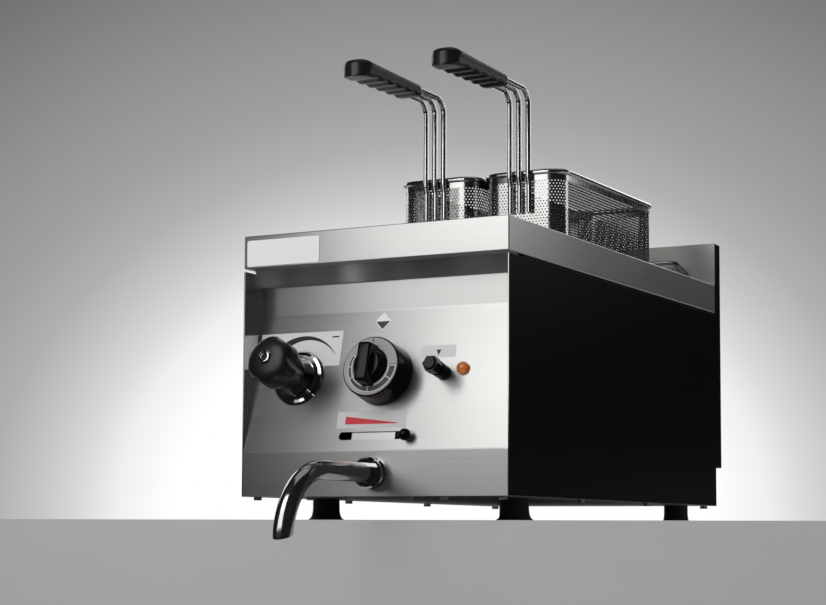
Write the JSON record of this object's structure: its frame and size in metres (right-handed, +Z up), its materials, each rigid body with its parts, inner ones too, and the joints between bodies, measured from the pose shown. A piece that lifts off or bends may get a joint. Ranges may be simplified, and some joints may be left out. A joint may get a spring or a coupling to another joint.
{
  "type": "pasta cooker",
  "caption": "Countertop electric pasta cooker: stainless casing with a sloped control panel, fill tap, drain lever, spout, and lift-out perforated baskets with long handles.",
  "frame": {"origin": "on the worktop, under the middle of the casing's width and depth", "axes": "+Z up, front with the controls towards -Y, tap side towards -X"},
  "size_m": [0.3, 0.7745, 0.4968],
  "materials": {
    "stainless": "brushed stainless sheet",
    "plain_steel": "plain rolled steel",
    "tank_steel": "pressed stainless",
    "black_paint": "satin black paint",
    "polished_wire": "electropolished wire",
    "perforated_steel": "perforated stainless sheet",
    "black_plastic": "moulded black plastic",
    "switch_plastic": "moulded switch body",
    "chrome": "chrome plating",
    "brass": "turned brass",
    "copper": "drawn copper tube",
    "machined_steel": "machined stainless",
    "zinc_screws": "zinc plated",
    "element_sheath": "heat-darkened sheath",
    "dial_print": "satin ring with a printed scale",
    "amber_lens": "amber lens",
    "rubber": "black rubber"
  },
  "bodies": {
    "base": {"top_deck": "stainless", "front_panel": "stainless", "splash_plate": "stainless", "back_panel": "plain_steel", "base_plate": "plain_steel", "tank": "tank_steel", "false_bottom": "tank_steel", "side_panel_left": "black_paint", "side_panel_right": "black_paint", "rear_cover": "black_paint", "frame_rails": "black_paint", "basket_rail": "polished_wire", "reset_collar": "black_plastic", "cable_gland": "black_plastic", "thermo_body": "switch_plastic", "reset_body": "switch_plastic", "lamp_body": "switch_plastic", "terminal_block": "switch_plastic", "tap_rose": "chrome", "tap_bonnet": "chrome", "spout_collar": "chrome", "spout_tube": "chrome", "tap_valve": "brass", "water_inlet": "brass", "drain_valve": "brass", "element_bushes": "brass", "fill_pipe": "copper", "inlet_pipe": "copper", "thermo_probe": "copper", "drain_pipe": "machined_steel", "foot_screws": "zinc_screws", "base_screws": "zinc_screws", "heating_element": "element_sheath", "lamp_lens": "amber_lens", "rubber_feet": "rubber"},
    "drain_lever": {"drain_ball": "machined_steel", "drain_stem": "machined_steel", "drain_lever": "machined_steel", "drain_lever_knob": "black_plastic"},
    "slot_shutter": {"slot_shutter": "machined_steel"},
    "tap_knob": {"tap_knob": "black_plastic", "tap_cap_screw": "chrome", "tap_spindle": "brass"},
    "thermo_knob": {"thermo_knob": "black_plastic", "thermo_dial": "dial_print", "thermo_shaft": "machined_steel"},
    "reset_button": {"reset_button": "black_plastic"},
    "basket_left": {"basket_wall_left": "perforated_steel", "basket_floor_left": "perforated_steel", "basket_rim_left": "polished_wire", "handle_rods_left": "polished_wire", "handle_grip_left": "black_plastic"},
    "basket_right": {"basket_wall_right": "perforated_steel", "basket_floor_right": "perforated_steel", "basket_rim_right": "polished_wire", "handle_rods_right": "polished_wire", "handle_grip_right": "black_plastic"}
  },
  "joints": [
    {"name": "drain_lever_turn", "type": "hinge", "parent": "base", "child": "drain_lever", "pos_m": [0.003, -0.26643, 0.0825], "axis": [0, 0, 1], "range_deg": [-90, 0]},
    {"name": "slot_shutter_slide", "type": "slide", "parent": "base", "child": "slot_shutter", "axis": [1, 0, 0], "range_m": [-0.0552, 0]},
    {"name": "tap_turn", "type": "hinge", "parent": "base", "child": "tap_knob", "pos_m": [-0.0935, -0.28151, 0.143], "axis": [0, -0.9709, 0.2393], "range_deg": [0, 180]},
    {"name": "thermostat_turn", "type": "hinge", "parent": "base", "child": "thermo_knob", "pos_m": [0.0045, -0.28151, 0.143], "axis": [0, 0.9709, -0.2393], "range_deg": [0, 270]},
    {"name": "reset_press", "type": "slide", "parent": "base", "child": "reset_button", "axis": [0, 0.9709, -0.2393], "range_m": [0, 0.003], "stiffness_N_per_m": 400, "springref_m": -0.002},
    {"name": "basket_left_lift", "type": "slide", "parent": "base", "child": "basket_left", "axis": [0, 0, 1], "range_m": [0, 0.25]},
    {"name": "basket_right_lift", "type": "slide", "parent": "base", "child": "basket_right", "axis": [0, 0, 1], "range_m": [0, 0.25]}
  ],
  "couplings": [
    {"joint": "slot_shutter_slide", "follows": "drain_lever_turn", "m_per_rad": 0.035107}
  ]
}
